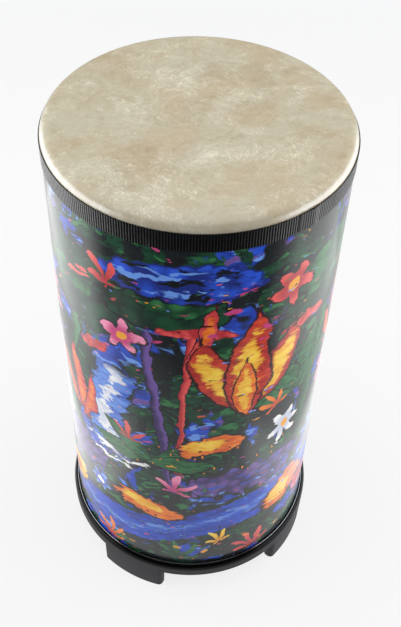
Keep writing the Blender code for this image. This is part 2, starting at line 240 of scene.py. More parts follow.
class Finish:
    """A procedural material, built from expressions on the values of its nodes."""

    def __init__(self, name, **uniform):
        self.material = bpy.data.materials.new(name)
        self.material.use_nodes = True
        self.tree = self.material.node_tree
        self.shader = self.tree.nodes["Principled BSDF"]
        self.set(**uniform)

    def put(self, socket, value):
        """Link a value to a socket, or set the socket to a plain number, vector or colour."""
        if isinstance(value, Value):
            self.tree.links.new(value.socket, socket)
        elif hasattr(socket.default_value, "__len__") and len(socket.default_value) == 4:
            socket.default_value = (*value, 1.0)
        else:
            socket.default_value = value

    def node(self, kind, settings, *values, sockets=None, out=0):
        """Add a node with its settings, the values of its sockets in order, and others by name."""
        made = self.tree.nodes.new(kind)
        for key, setting in settings.items():
            setattr(made, key, setting)
        for socket, value in zip(made.inputs, values):
            self.put(socket, value)
        for key, value in (sockets or {}).items():
            self.put(made.inputs[key], value)
        return Value(self, made.outputs[out])

    def place(self):
        """Where a point lies on the piece, in metres in the drum's own frame."""
        return self.node("ShaderNodeTexCoord", {}, out="Object")

    def parts(self, vector):
        """Split a vector into its three numbers."""
        made = self.node("ShaderNodeSeparateXYZ", {}, vector)
        return [Value(self, socket) for socket in made.socket.node.outputs]

    def dot(self, vector, axis):
        """How far a vector reaches along an axis."""
        return self.node("ShaderNodeVectorMath", {"operation": "DOT_PRODUCT"}, vector, axis, out="Value")

    def noise(self, vector, scale, detail=2.0, rough=0.5, distortion=0.0, out="Fac"):
        """Smooth noise at a scale in features a unit."""
        sockets = {"Vector": vector, "Scale": scale, "Detail": detail, "Roughness": rough}
        sockets["Distortion"] = distortion
        return self.node("ShaderNodeTexNoise", {}, sockets=sockets, out=out)

    def cells(self, vector, scale):
        """How far a point lies from the nearest of scattered middles."""
        sockets = {"Vector": vector, "Scale": scale}
        return self.node("ShaderNodeTexVoronoi", {}, sockets=sockets, out="Distance")

    def wander(self, vector, place, scale, detail, reach):
        """Shift a vector by noise, up to a reach along each axis, so that lines on it bend."""
        shift = self.noise(place, scale, detail, out="Color")
        return self.node("ShaderNodeVectorMath", {"operation": "MULTIPLY_ADD"}, shift, reach, vector)

    def mix(self, share, first, second):
        """Blend two colours by a share, through the colour sockets of a Mix node."""
        sockets = {6: first, 7: second}
        return self.node("ShaderNodeMix", {"data_type": "RGBA"}, share, sockets=sockets, out=2)

    def mapped(self, vector, **sockets):
        """Move, turn and scale a vector."""
        return self.node("ShaderNodeMapping", {}, vector, sockets=sockets)

    def stretch(self, vector, factors):
        """Scale a vector along each axis, which stretches the noise that reads it."""
        return self.node("ShaderNodeVectorMath", {"operation": "MULTIPLY"}, vector, factors)

    def bump(self, height, depth, strength):
        """Turn a height into a normal."""
        sockets = {"Height": height, "Distance": depth, "Strength": strength}
        return self.node("ShaderNodeBump", {}, sockets=sockets)

    def set(self, **values):
        """Feed the shader's sockets, with spaces in their names written as underscores."""
        for key, value in values.items():
            self.put(self.shader.inputs[key.replace("_", " ")], value)
        return self.material


def wear(piece, material, body="root"):
    """Give a piece its finish and let it ride on the drum."""
    piece.data.materials.clear()
    piece.data.materials.append(material)
    if "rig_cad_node" not in piece:
        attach(piece, body)


def show(name, data):
    """Put a mesh, a light or a camera in the scene."""
    made = bpy.data.objects.new(name, data)
    bpy.context.scene.collection.objects.link(made)
    return made


def mesh_object(name, shape):
    """Turn a bmesh into a shown piece with smooth rounds and sharp edges."""
    bmesh.ops.recalc_face_normals(shape, faces=shape.faces)
    mesh = bpy.data.meshes.new(name)
    shape.to_mesh(mesh)
    shape.free()
    mesh.shade_smooth()
    mesh.set_sharp_from_angle(angle=math.radians(SHARP_ANGLE))
    return show(name, mesh)


def walls(shape, rings):
    """Close the walls between neighbouring rings of points."""
    for near, far in zip(rings, rings[1:]):
        for i in range(len(near)):
            shape.faces.new((near[i - 1], near[i], far[i], far[i - 1]))


def wound(name, sections, azimuths, full):
    """Sweep a half section round the drum's axis. A section is given for each azimuth, in radians."""
    shape = bmesh.new()
    rings = []
    for section, azimuth in zip(sections, azimuths):
        sine, cosine = math.sin(azimuth), math.cos(azimuth)
        rings.append([shape.verts.new((r * sine, -r * cosine, z)) for r, z in section])
    if full:
        rings.append(rings[0])
    else:
        shape.faces.new(rings[0])
        shape.faces.new(rings[-1])
    walls(shape, rings)
    bmesh.ops.remove_doubles(shape, verts=shape.verts, dist=WELD)
    return mesh_object(name, shape)


def turned(name, section, segments=FACETS):
    """Turn one half section right round the axis."""
    azimuths = [math.tau * i / segments for i in range(segments)]
    return wound(name, [section] * segments, azimuths, True)


def arc(centre_r, centre_z, reach_r, reach_z, start, end, steps):
    """Points of an elliptical arc, by angle from the radial direction."""
    points = []
    for i in range(steps + 1):
        angle = math.radians(start + (end - start) * i / steps)
        points.append((centre_r + reach_r * math.cos(angle), centre_z + reach_z * math.sin(angle)))
    return points


def smooth(value):
    """Ease a number from 0 to 1."""
    value = min(max(value, 0.0), 1.0)
    return value * value * (3.0 - 2.0 * value)


def head_skin():
    """Film of the head: a flat in rings, the rounded fold and the collar."""
    fold_r, fold_z = head_r - FOLD_RADIUS, head_top - FOLD_RADIUS
    inner = FOLD_RADIUS - FILM_THICKNESS
    flat = [fold_r * i / FLAT_RINGS for i in range(FLAT_RINGS)]
    section = [(r, head_top) for r in flat]
    section += arc(fold_r, fold_z, FOLD_RADIUS, FOLD_RADIUS, 90.0, 0.0, FOLD_STEPS)
    section += [(head_r, collar_z), (head_r - FILM_THICKNESS, collar_z)]
    section += arc(fold_r, fold_z, inner, inner, 0.0, 90.0, FOLD_STEPS)
    section += [(r, head_top - FILM_THICKNESS) for r in reversed(flat)]
    film = turned("head_skin", section)
    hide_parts("drumhead_film")
    wear(film, parchment())


def strip_turns(length, radius, start_azimuth, samples):
    """Azimuths of a strip's stations, from its hidden start round to its lapped end."""
    turns = []
    for i in range(samples + 1):
        along = length * i / samples
        turns.append((along, math.radians(start_azimuth) - along / radius))
    return turns


def binding_tape():
    """Ribbed tape wound once round the joint, with its end lapped over its start."""
    base_r = tape_r - TAPE_THICKNESS
    length = math.tau * base_r + TAPE_LAP
    ribs = round(math.tau * base_r / TAPE_RIB)
    start = TAPE_END_AZIMUTH + math.degrees(TAPE_LAP / base_r)
    steps = round(length / TAPE_RIB) * TAPE_RIB_FACETS
    sections, azimuths = [], []
    for along, azimuth in strip_turns(length, base_r, start, steps):
        lap = smooth((along - length + TAPE_CLIMB_START) / TAPE_CLIMB)
        inner = base_r + lap * (TAPE_THICKNESS + LAYER_GAP)
        rib = abs(math.sin(math.pi * ribs * along / (math.tau * base_r))) ** TAPE_RIB_CROWN
        press = smooth((along - length) / TAPE_LAP + 1.0) * TAPE_END_THINNING
        outer = inner + (TAPE_THICKNESS - TAPE_RIB_RISE * (1.0 - rib)) * (1.0 - press)
        low = tape_bottom + TAPE_DRIFT * along / length - TAPE_PICOT * rib
        high = low + TAPE_WIDTH + 2 * TAPE_PICOT * rib
        section = [(inner, high - TAPE_EDGE), (inner, low + TAPE_EDGE)]
        section += [(outer - TAPE_EDGE, low), (outer, low + TAPE_EDGE)]
        section += [(outer, high - TAPE_EDGE), (outer - TAPE_EDGE, high)]
        sections.append(section)
        azimuths.append(azimuth)
    tape = wound("binding_tape", sections, azimuths, False)
    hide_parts("binding_band")
    wear(tape, grosgrain(ribs, math.radians(start)))


def printed_skin():
    """Printed skin wound once round the shell, with a lapped seam at the back."""
    base_r = skin_r - SKIN_THICKNESS
    length = math.tau * base_r + SKIN_LAP
    start = SKIN_END_AZIMUTH + math.degrees(SKIN_LAP / base_r)
    levels = [skin_bottom + (skin_top - skin_bottom) * i / SKIN_BANDS for i in range(SKIN_BANDS + 1)]
    sections, azimuths = [], []
    for along, azimuth in strip_turns(length, base_r, start, FACETS):
        climb = smooth((along - length + SKIN_CLIMB_START) / SKIN_CLIMB)
        inner = base_r + climb * (SKIN_THICKNESS + LAYER_GAP)
        outer = inner + SKIN_THICKNESS
        section = [(inner, z) for z in levels]
        section += [(outer, z) for z in reversed(levels)]
        sections.append(section)
        azimuths.append(azimuth)
    skin = wound("printed_skin", sections, azimuths, False)
    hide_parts("printed_wrap")
    wear(skin, garden_print())


def tool(name, shape):
    """Make a tool from a bmesh, for one cut or join."""
    mesh = bpy.data.meshes.new(name)
    shape.to_mesh(mesh)
    shape.free()
    return show(name, mesh)


def prism(shape, outline, low, high, matrix):
    """Add an outline in X and Y, drawn up from low to high along Z, then moved by a matrix."""
    bottom = [shape.verts.new(matrix @ Vector((x, y, low))) for x, y in outline]
    top = [shape.verts.new(matrix @ Vector((x, y, high))) for x, y in outline]
    shape.faces.new(list(reversed(bottom)))
    shape.faces.new(top)
    walls(shape, (bottom, top))


def around(azimuth, radius=0.0, aside=0.0):
    """Stand at an azimuth facing out: local X runs sideways and local -Y outwards."""
    return Matrix.Rotation(math.radians(azimuth), 4, "Z") @ Matrix.Translation((aside, -radius, 0.0))


def rounded_outline(half_width, half_depth, corner):
    """Rectangle with rounded corners, centred on the origin."""
    points = []
    for x_side, y_side, start in ((1, 1, 0.0), (-1, 1, 90.0), (-1, -1, 180.0), (1, -1, 270.0)):
        centre = (x_side * (half_width - corner), y_side * (half_depth - corner))
        points += arc(*centre, corner, corner, start, start + 90.0, steps=5)
    return points


def cut(piece, cutter, operation="DIFFERENCE"):
    """Cut a piece with a tool, or join them, and let the tool go."""
    boolean = piece.modifiers.new(cutter.name, "BOOLEAN")
    boolean.operation = operation
    boolean.object = cutter
    boolean.solver = "EXACT"
    bpy.context.view_layer.update()
    graph = bpy.context.evaluated_depsgraph_get()
    mesh = bpy.data.meshes.new_from_object(piece.evaluated_get(graph))
    piece.modifiers.clear()
    piece.data = mesh
    bpy.data.objects.remove(cutter, do_unlink=True)


def ring_section():
    """Half section of the ring through a foot."""
    bead_r, bead_z = channel_r + LIP_BEAD_RADIUS, ring_top - LIP_BEAD_RADIUS
    slope_r = bead_r + LIP_BEAD_RADIUS
    section = arc(bead_r, bead_z, LIP_BEAD_RADIUS, LIP_BEAD_RADIUS, 180.0, 0.0, steps=10)[:-1]
    section += arc(slope_r, skirt_top, ring_r - slope_r, bead_z - skirt_top, 90.0, 0.0, steps=12)
    section += arc(sole_r - SOLE_ROUND, SOLE_ROUND, SOLE_ROUND, SOLE_ROUND, 0.0, -90.0, steps=3)
    section += arc(heel_r + SOLE_ROUND, SOLE_ROUND, SOLE_ROUND, SOLE_ROUND, -90.0, -180.0, steps=3)
    fillet_r, fillet_z = heel_top_r - FOOT_FILLET, flange_z - FOOT_FILLET
    section += arc(fillet_r, fillet_z, FOOT_FILLET, FOOT_FILLET, 0.0, 90.0, steps=4)
    return section + [(FLANGE_BORE_R, flange_z), (FLANGE_BORE_R, floor_z), (channel_r, floor_z)]


def foot_plan(near_r, height, inset):
    """Foot seen from above at a height: ends rounded into the ring's drafted faces, which it leaves."""
    outer_r = sole_r + height * math.tan(math.radians(SKIRT_DRAFT)) - FOOT_END_RADIUS
    inner_r = heel_r - height * math.tan(math.radians(FOOT_INNER_DRAFT)) + FOOT_END_RADIUS
    aside = FOOT_WIDTH / 2 - FOOT_END_RADIUS
    round_r = FOOT_END_RADIUS - inset
    outer_lean, inner_lean = math.asin(aside / outer_r), math.asin(aside / inner_r)
    far_r = ring_r + 2 * PIERCE
    end = [(far_r * math.sin(outer_lean), -far_r * math.cos(outer_lean))]
    outer_y, inner_y = -outer_r * math.cos(outer_lean), -inner_r * math.cos(inner_lean)
    end += arc(aside, outer_y, round_r, round_r, math.degrees(outer_lean) - 90.0, 0.0, steps=12)
    end += arc(aside, inner_y, round_r, round_r, 0.0, math.degrees(inner_lean) + 90.0, steps=12)
    end += [(near_r * math.sin(inner_lean), -near_r * math.cos(inner_lean))]
    return end + [(-x, y) for x, y in reversed(end)]


def foot_bar(near_r, azimuth):
    """Tool that stands where a foot stays, with the sole's edge rounded."""
    levels = [(-PIERCE, SOLE_ROUND)]
    for i in range(SOLE_STEPS + 1):
        rise = SOLE_ROUND * i / SOLE_STEPS
        levels.append((rise, SOLE_ROUND - math.sqrt(max(SOLE_ROUND**2 - (SOLE_ROUND - rise) ** 2, 0.0))))
    levels.append((RING_UNDERSIDE + PIERCE, 0.0))
    shape = bmesh.new()
    rings = []
    for z, inset in levels:
        outline = foot_plan(near_r, z, inset)
        rings.append([shape.verts.new(around(azimuth) @ Vector((x, y, z))) for x, y in outline])
    walls(shape, rings)
    shape.faces.new(rings[0])
    shape.faces.new(rings[-1])
    bmesh.ops.recalc_face_normals(shape, faces=shape.faces)
    return tool("foot_bar", shape)


def foot_gaps():
    """Tool for the gaps between the feet."""
    inner, outer = heel_top_r - FOOT_FILLET - PIERCE, ring_r + PIERCE
    section = [(outer, RING_UNDERSIDE), (outer, -PIERCE), (inner, -PIERCE), (inner, RING_UNDERSIDE)]
    gaps = turned("foot_gaps", section)
    for azimuth in FOOT_AZIMUTHS:
        cut(gaps, foot_bar(inner - PIERCE, azimuth))
    return gaps


def foot_pockets():
    """Tool for the pockets that core each foot from below."""
    flat = FOOT_WIDTH - 2 * FOOT_END_RADIUS
    length = (flat - (FOOT_POCKETS - 1) * FOOT_RIB) / FOOT_POCKETS
    depth = FOOT_THICKNESS - 2 * FOOT_WALL
    outline = rounded_outline(length / 2, depth / 2, POCKET_CORNER)
    middle_r = (sole_r + heel_r) / 2
    step = math.degrees((length + FOOT_RIB) / middle_r)
    shape = bmesh.new()
    for azimuth in FOOT_AZIMUTHS:
        for i in range(FOOT_POCKETS):
            stand = around(azimuth + (i - (FOOT_POCKETS - 1) / 2) * step, middle_r)
            prism(shape, outline, -PIERCE, RING_UNDERSIDE - FOOT_ROOF, stand)
    return tool("foot_pockets", shape)


def foot_gussets():
    """Webs that brace each foot against the flange."""
    root_r, root_z = heel_top_r + FOOT_WALL / 2, flange_z + FLANGE_THICKNESS / 2
    tip_r = heel_top_r - GUSSET_REACH
    outline = [(root_r, root_z), (tip_r, root_z)]
    outline += [(tip_r, flange_z - GUSSET_THICKNESS), (root_r, flange_z - GUSSET_DROP)]
    turn = Matrix.Rotation(math.radians(-90.0), 4, "Z") @ Matrix.Rotation(math.radians(90.0), 4, "X")
    half = GUSSET_THICKNESS / 2
    shape = bmesh.new()
    for azimuth in FOOT_AZIMUTHS:
        for side in (-1, 1):
            prism(shape, outline, -half, half, around(azimuth, aside=side * GUSSET_SPACING / 2) @ turn)
    bmesh.ops.recalc_face_normals(shape, faces=shape.faces)
    return tool("foot_gussets", shape)


def disc_tool(name, diameter, low, high):
    """Tool with a round bar at each screw's place."""
    outline = arc(0.0, 0.0, diameter / 2, diameter / 2, 0.0, 360.0, SCREW_FACETS)[:-1]
    shape = bmesh.new()
    for i in range(SCREW_COUNT):
        prism(shape, outline, low, high, around(360.0 * i / SCREW_COUNT, SCREW_CIRCLE_R))
    return tool(name, shape)


def foot_moulding():
    """Moulded ring with its lip, feet, gussets, bosses and pockets."""
    ring = turned("foot_moulding", ring_section())
    boss_z = flange_z - BOSS_HEIGHT
    cut(ring, foot_gaps())
    cut(ring, foot_gussets(), "UNION")
    cut(ring, disc_tool("bosses", BOSS_DIAMETER, boss_z, flange_z + FLANGE_THICKNESS / 2), "UNION")
    cut(ring, foot_pockets())
    cut(ring, disc_tool("flange_holes", SCREW_HOLE, boss_z - PIERCE, floor_z + PIERCE))
    ring.data.shade_smooth()
    ring.data.set_sharp_from_angle(angle=math.radians(SHARP_ANGLE))
    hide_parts("foot_ring")
    wear(ring, moulding())


def resonator():
    """Spiral-wound inner tube with eased ends."""
    inner_r, outer_r = tube_r - TUBE_WALL + TUBE_EASE, tube_r - TUBE_EASE
    low_z, high_z = tube_bottom + TUBE_EASE, tube_top - TUBE_EASE
    section = []
    for r, z, start in (
        (outer_r, high_z, 90.0),
        (outer_r, low_z, 0.0),
        (inner_r, low_z, -90.0),
        (inner_r, high_z, 180.0),
    ):
        section += arc(r, z, TUBE_EASE, TUBE_EASE, start, start - 90.0, steps=4)
    tube = turned("resonator", section, TUBE_FACETS)
    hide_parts("bass_tube")
    wear(tube, wound_board())


def cross_outline(reach, half):
    """Outline of a cross with four equal arms."""
    points = []
    for quarter in range(4):
        turn = Matrix.Rotation(math.radians(90.0 * quarter), 2)
        points += [turn @ Vector(corner) for corner in ((reach, -half), (reach, half), (half, half))]
    return [tuple(point) for point in points]


def screw(name, centre, turn, finish):
    """Pan-head screw with a cross recess, hung head down under its place."""
    lowest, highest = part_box(name)
    head = (highest[1] - lowest[1]) / 2
    seat = lowest[2] + SCREW_HEAD_HEIGHT
    rim = SCREW_HEAD_HEIGHT * SCREW_RIM_SHARE
    shank = SCREW_DIAMETER / 2
    section = [(0.0, highest[2]), (shank, highest[2] - SCREW_TIP), (shank, seat), (head, seat)]
    section += arc(0.0, seat - rim, head, SCREW_HEAD_HEIGHT - rim, 0.0, -90.0, steps=8)
    piece = turned(name.replace("plate_screw", "pan_screw"), section, SCREW_FACETS)
    shape = bmesh.new()
    outline = cross_outline(head * SCREW_SLOT_SHARE, SCREW_SLOT / 2)
    prism(shape, outline, -PIERCE, lowest[2] + SCREW_SLOT_DEPTH, around(turn))
    cut(piece, tool("recess", shape))
    piece.data.transform(centre)
    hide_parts(name)
    wear(piece, finish)


def screws():
    """One screw for each packed one, each driven home at its own angle."""
    finish = zinc()
    for i in range(SCREW_COUNT):
        centre = around(360.0 * i / SCREW_COUNT, SCREW_CIRCLE_R)
        screw(f"plate_screw_{i + 1}", centre, SCREW_TURN * i, finish)


# Tones of the parchment film, and where its fold turns glossy and darkens with painted shade, in metres
# from the flat's edge
BEIGE = srgb(188, 175, 148)
COOL_BEIGE = srgb(190, 183, 161)
TAN = srgb(170, 153, 122)
UMBER = srgb(148, 129, 98)
HAZE = srgb(208, 203, 186)
FIBRE = srgb(228, 221, 200)
FOLD_GLOSS_AND_SHADE = (0.0055, 0.0076)


def parchment():
    """Parchment-look film: beige clouds, tan mottling, haze and clustered fibres, and a glossy fold with
    painted shade.
    """
    film = Finish("parchment_film", Coat_Roughness=0.3, Coat_IOR=2.4)
    place = film.place()
    cloud = film.noise(place, 15.0, 4.0, 0.6, 0.6)
    colour = film.mix(cloud.edge(0.4, 0.6), COOL_BEIGE, BEIGE)
    patch = film.noise(place, 26.0, 6.0, 0.72, 0.8)
    colour = film.mix(patch.edge(0.47, 0.64) * 0.52, colour, TAN)
    mottle = film.noise(film.stretch(place, (1.0, 1.4, 1.0)), 130.0, 5.0, 0.75, 0.3)
    colour = film.mix(mottle.edge(0.52, 0.7) * 0.3, colour, UMBER)
    colour = film.mix(mottle.edge(0.5, 0.34) * 0.22, colour, HAZE)
    swirl = film.wander(place, place, 34.0, 3.0, (0.05, 0.05, 0.05))
    for factors, scale, cluster in (
        ((1.0, 2.6, 1.0), 58.0, 12.0),
        ((2.4, 1.0, 1.0), 70.0, 17.0),
        ((1.7, 1.2, 1.0), 100.0, 10.0),
        ((1.0, 1.9, 1.0), 128.0, 21.0),
    ):
        share = film.noise(place, cluster, 5.0, 0.72, 0.5).edge(0.52, 0.64)
        strand = (film.noise(film.stretch(swirl, factors), scale, 3.0, 0.55, 0.3) - 0.5).abs()
        colour = film.mix(share * 0.24, colour, HAZE)
        colour = film.mix(strand.edge(0.028, 0.004) * (share * 0.75 + 0.035), colour, FIBRE)
    x, y = film.parts(place)[:2]
    fold = from_middle(x, y).edge(*(head_r - FOLD_RADIUS + step for step in FOLD_GLOSS_AND_SHADE))
    # Painted shade: the fold darkens a little towards umber where it turns away from the light.
    colour = film.mix(fold * 0.1, colour, UMBER)
    speck = film.noise(place, 480.0, 3.0, 0.7)
    colour = film.mix(speck.edge(0.42, 0.68) * 0.14, colour, UMBER)
    grain = film.bump(mottle + speck * 0.4, 0.0002, 0.2)
    rough = 0.26 + mottle * 0.2
    return film.set(Base_Color=colour, Normal=grain, Roughness=rough, Coat_Weight=0.07 + fold * 0.85)


def grosgrain(ribs, start):
    """Black ribbed tape: a fine weave on the ribs, and painted shade in the grooves between them."""
    tape = Finish("grosgrain_tape", Specular_IOR_Level=0.6)
    place = tape.place()
    x, y = tape.parts(place)[:2]
    turn = x.math("ARCTAN2", -y)
    groove = ((turn - start) * ribs).cos().edge(0.1, 0.95)
    weave = tape.noise(tape.stretch(place, (1.0, 1.0, 3.0)), 900.0, 2.0)
    colour = tape.mix(weave, srgb(3, 3, 4), srgb(14, 14, 16))
    # Painted shade: the grooves between the ribs are darkened towards black.
    colour = tape.mix(groove * 0.7, colour, srgb(2, 2, 2))
    woven = tape.bump(weave, 0.0001, 0.5)
    return tape.set(Base_Color=colour, Normal=woven, Roughness=0.15 + weave * 0.12 + groove * 0.3)


# Where the moulding's finishes change, in metres: from the skirt's top, the channel and the ring's top
LIP_FADE = (-0.001, 0.0003)
BEAD_FADE = (0.0022, 0.0017)
CROWN_FADE = (-0.0034, -0.0014)


def moulding():
    """Black moulding: polished bead, dark satin lip, fine-grained grey skirt and feet."""
    black = Finish("moulded_black", Coat_Roughness=0.1, Specular_IOR_Level=0.1, Coat_IOR=3.6)
    place = black.place()
    x, y, z = black.parts(place)[:3]
    reach = from_middle(x, y)
    lip = z.edge(*(skirt_top + step for step in LIP_FADE))
    bead = reach.edge(*(channel_r + step for step in BEAD_FADE)) * lip
    grain = black.noise(place, 850.0, 4.0, 0.7)
    scuff = black.noise(black.stretch(place, (1.0, 1.0, 4.0)), 45.0, 4.0, 0.6)
    colour = black.mix(lip, srgb(56, 56, 59), srgb(3, 3, 4))
    colour = black.mix(scuff.edge(0.55, 0.8) * 0.25 * (1.0 - lip), colour, srgb(84, 84, 88))
    colour = black.mix(grain.edge(0.5, 0.7) * 0.4 * (1.0 - lip), colour, srgb(86, 86, 90))
    coat = bead + z.edge(*(ring_top + step for step in CROWN_FADE)) * 0.03
    grained = black.bump(grain, 0.0002, 1.0 - lip * 0.8)
    rough = 0.54 - lip * 0.28 + scuff * 0.06
    return black.set(Base_Color=colour, Roughness=rough, Coat_Weight=coat.least(1.0), Normal=grained)


def fibreboard(name, light, dark):
    """Pressed fibre: flecks and short pale strands."""
    board = Finish(name)
    place = board.place()
    fleck = board.noise(place, 420.0, 4.0, 0.7)
    cloud = board.noise(place, 30.0, 3.0)
    strand = board.noise(board.stretch(place, (1.0, 6.0, 1.0)), 160.0, 3.0)
    colour = board.mix(fleck.edge(0.35, 0.7), dark, light)
    colour = board.mix(cloud * 0.35, colour, dark)
    colour = board.mix(strand.edge(0.58, 0.75) * 0.4, colour, light)
    flecked = board.bump(fleck, 0.0002, 0.5)
    return board.set(Base_Color=colour, Normal=flecked, Roughness=0.7 + fleck * 0.2)


def wound_board():
    """Spiral-wound board with the edges of its plies showing as a helix."""
    board = Finish("wound_board", Roughness=0.85)
    place = board.place()
    x, y, z = board.parts(place)[:3]
    turn = y.math("ARCTAN2", x) / math.tau
    helix = (z / PLY_PITCH + turn).fraction()
    seam = helix.edge(0.012, 0.0) + helix.edge(0.988, 1.0)
    fibre = board.noise(board.stretch(place, (1.0, 1.0, 0.4)), 380.0, 4.0, 0.65)
    colour = board.mix(fibre, srgb(128, 108, 84), srgb(166, 144, 114))
    colour = board.mix(seam.least(1.0) * 0.6, colour, srgb(86, 70, 52))
    return board.set(Base_Color=colour, Normal=board.bump(fibre - seam, 0.00015, 0.5))


def zinc():
    """Zinc-plated steel with fine turning marks."""
    steel = Finish("zinc_steel", Metallic=1.0)
    place = steel.place()
    mark = steel.noise(place, 900.0, 3.0)
    colour = steel.mix(mark, srgb(172, 172, 168), srgb(206, 206, 204))
    return steel.set(Base_Color=colour, Roughness=0.25 + mark * 0.2)


# Paints of the garden print
INK = srgb(14, 14, 17)
NIGHT = (srgb(10, 16, 19), srgb(18, 28, 28))
FOREST = (srgb(6, 38, 28), srgb(16, 74, 44))
FERN = (srgb(10, 62, 36), srgb(46, 116, 64))
ROYAL = (srgb(18, 40, 128), srgb(30, 84, 218))
SKY = (srgb(34, 78, 190), srgb(104, 152, 232))
VIOLET = (srgb(54, 36, 92), srgb(108, 78, 156))
ORANGE = (srgb(214, 80, 20), srgb(248, 138, 36))
GOLD = (srgb(240, 164, 30), srgb(254, 216, 76))
RUST = (srgb(160, 32, 30), srgb(216, 68, 44))
CORAL = (srgb(184, 40, 50), srgb(230, 86, 82))
PINK = (srgb(200, 64, 124), srgb(242, 144, 180))
WHITE = (srgb(200, 206, 224), srgb(248, 248, 248))


class Painting:
    """Layers of paint on a flat picture measured in millimetres."""

    def __init__(self, finish, flat, brush, streak):
        self.finish = finish
        self.flat = flat
        self.brush = brush
        self.streak = streak
        self.colour = None

    def shade(self, dark, light, brush=None):
        """Mix two tones of one paint by the marks of the brush."""
        return self.finish.mix(self.brush if brush is None else brush, dark, light)

    def lay(self, mask, colour):
        """Lay a colour over what is there."""
        self.colour = self.finish.mix(mask, self.colour, colour)

    def local(self, x, y, length, width, turn):
        """Coordinates of a motif from its middle, in its own half sizes."""
        lean = math.radians(turn)
        along = (math.cos(lean) / length, math.sin(lean) / length)
        across = (-math.sin(lean) / width, math.cos(lean) / width)
        axes = (along, across)
        return [self.finish.dot(self.flat, (*axis, 0.0)) - (x * axis[0] + y * axis[1]) for axis in axes]

    def leaf(self, x, y, length, width, turn, tones, bend):
        """Broad leaf with a midrib and slanting veins."""
        along, across = self.local(x, y, length / 2, width / 2, turn)
        square = along * along
        side = (across + square * bend).abs()
        shape = 1.0 - square - side
        vein = ((along * 1.2 - side * 0.7) * length * 0.55).sin().edge(0.55, 0.95) * 0.45
        rib = (side - 0.02).edge(0.09, 0.02)
        self.lay(shape.edge(-0.14, -0.04), INK)
        fill = self.finish.mix((vein + rib).least(1.0), self.shade(*tones), tones[1])
        self.lay(shape.edge(0.0, 0.08), fill)

    def bloom(self, x, y, radius, petals, turn, tones, heart):
        """Open flower, whose petals darken towards its heart."""
        across, up = self.local(x, y, radius, radius, turn)
        reach = from_middle(across, up)
        swing = up.math("ARCTAN2", across)
        shape = 0.7 + (swing * petals).cos() * 0.24 - reach + (self.streak - 0.5) * 0.2
        self.lay(shape.edge(-0.12, -0.04), INK)
        share = reach.edge(0.2, 0.8)
        fill = self.finish.mix(share, tones[0], self.shade(*tones, reach.edge(0.3, 0.75)))
        self.lay(shape.edge(0.0, 0.06), fill)
        self.lay(reach.edge(0.27, 0.2), heart)

    def flame(self, x, y, length, width, turn, bend, rim, core):
        """Flame-like petal with a bright core."""
        along, across = self.local(x, y, length / 2, width / 2, turn)
        taper = (1.0 - along) * 0.5
        swell = (along * 2.4 + 0.6).sin() * 0.16
        side = (across + along * along * bend).abs()
        shape = (taper * (1.0 + along).most(0.0)) ** 0.5 + swell * taper - side + self.streak * 0.1
        shape = shape.least(1.12 - along.abs())
        self.lay(shape.edge(-0.12, -0.03), srgb(48, 14, 14))
        self.lay(shape.edge(0.0, 0.07), self.shade(*rim))
        self.lay((shape + self.streak * 0.3).edge(0.42, 0.62), self.shade(*core))

    def bush(self, x, y, length, width, tones, puff_size, rim):
        """Scalloped bush, lit on its puffs, with a dark rim."""
        along, across = self.local(x, y, length / 2, width / 2, 0.0)
        reach = from_middle(along, across)
        puff = self.finish.cells(self.flat, 1.0 / puff_size)
        shape = 1.02 - reach - puff * 0.42 + (self.streak - 0.5) * 0.12
        self.lay(shape.edge(-0.1, -0.03), rim)
        self.lay(shape.edge(0.0, 0.06), self.shade(*tones, puff.edge(0.75, 0.1)))

    def fruit(self, x, y, length, width, turn, rim, core):
        """Round fruit with a bright cheek and dark seeds."""
        along, across = self.local(x, y, length / 2, width / 2, turn)
        reach = from_middle(along, across) + (self.streak - 0.5) * 0.3
        self.lay(reach.edge(1.14, 1.06), INK)
        self.lay(reach.edge(1.0, 0.94), self.shade(*rim))
        cheek = (along + 0.25) * (along + 0.25) + (across - 0.15) * (across - 0.15)
        self.lay((cheek + self.streak * 0.3).edge(0.62, 0.4), self.shade(*core))
        seed = self.finish.cells(self.flat, 0.15).edge(0.26, 0.2)
        self.lay(seed * across.edge(-0.1, -0.3) * reach.edge(0.9, 0.8), srgb(96, 30, 20))

    def tuft(self, x, y, radius, blades, turn, tones):
        """Spray of pointed blades that rise from one place."""
        across, up = self.local(x, y, radius, radius, turn)
        reach = from_middle(across, up)
        swing = across.math("ARCTAN2", up)
        blade = (swing * blades + reach * 1.4).cos()
        spread = (swing * 0.62).cos().most(0.0)
        shape = spread * (0.55 + blade * 0.45) - reach
        self.lay(shape.edge(0.0, 0.05), self.shade(*tones, reach.edge(0.1, 0.8)))

    def trunk(self, x, y, height, width, lean, tones):
        """Upright stem of a tree with wavering sides and long strokes of paint."""
        along, across = self.local(x, y, height / 2, width / 2, lean)
        side = (across + (along * 3.1).sin() * 0.35).abs() + self.streak * 0.3
        ends = along.abs().edge(1.0, 0.9)
        self.lay(side.edge(1.34, 1.24) * ends, INK)
        self.lay(side.edge(1.1, 1.0) * ends, self.shade(*tones, across.edge(0.5, -0.7)))

    def strokes(self, zone, turn, scale, share, colour, slim=3.2):
        """Short slanting brush strokes over a zone."""
        lean, sizes = (0.0, 0.0, math.radians(turn)), (scale / slim, scale, 1.0)
        slanted = self.finish.mapped(self.flat, Rotation=lean, Scale=sizes)
        mark = self.finish.noise(slanted, 1.0)
        self.lay(mark.edge(share, share + 0.035) * zone, colour)

    def scatter(self, scale, size, zone, colour, lean=1.8):
        """Small leaves strewn over a zone."""
        spread = self.finish.mapped(self.flat, Scale=(scale / lean, scale, 1.0))
        leaf = self.finish.cells(spread, 1.0).edge(size, size * 0.75)
        self.lay(leaf * zone, colour)

    def spot(self, x, y, length, width):
        """Soft-edged oval share of the picture."""
        along, across = self.local(x, y, length / 2, width / 2, 0.0)
        return (along * along + across * across + self.brush * 0.6).edge(1.25, 0.85)


